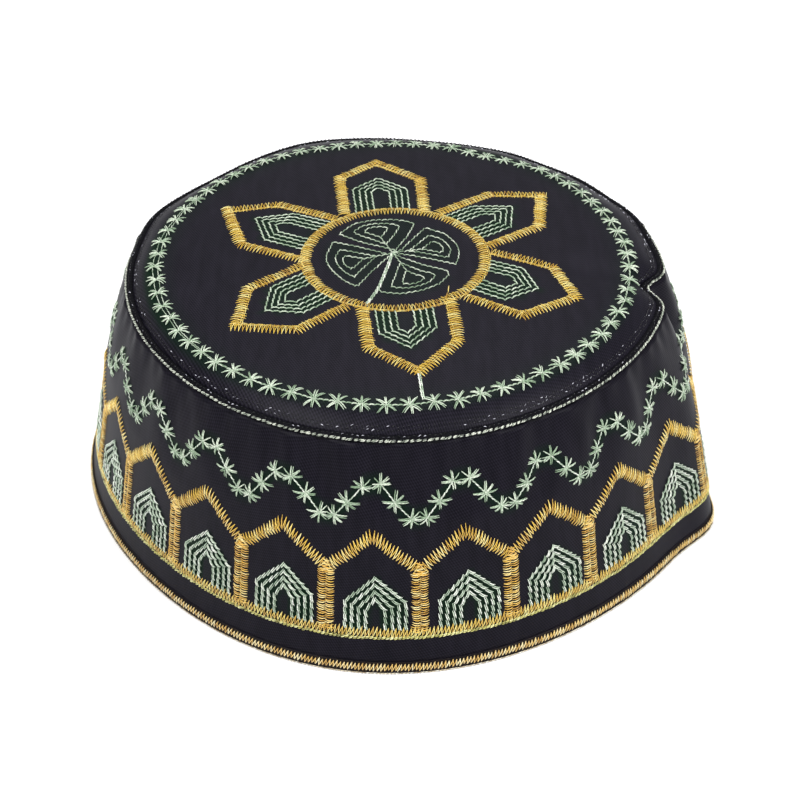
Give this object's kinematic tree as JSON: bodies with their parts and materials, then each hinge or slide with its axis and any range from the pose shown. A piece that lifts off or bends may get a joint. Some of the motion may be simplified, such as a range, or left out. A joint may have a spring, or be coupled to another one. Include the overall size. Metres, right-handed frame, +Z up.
{
  "type": "prayer cap",
  "caption": "Brimless embroidered prayer cap: flared side band, flat crown, corded seam and overlocked edge that it stands on.",
  "frame": {"origin": "on the floor, in the middle of the cap's box", "axes": "+Z up through the crown, -Y towards the front, +X towards the creased right side"},
  "size_m": [0.1828, 0.1777, 0.0747],
  "materials": {
    "band_satin": "black woven satin with gold and mint stitching",
    "crown_satin": "black woven satin with gold and mint stitching",
    "cord_thread": "black glossy stitched cord",
    "edging_thread": "gold overlock thread"
  },
  "bodies": {
    "root": {"side_band": "band_satin", "crown_top": "crown_satin", "seam_cord": "cord_thread", "rim_edging": "edging_thread"}
  },
  "joints": []
}
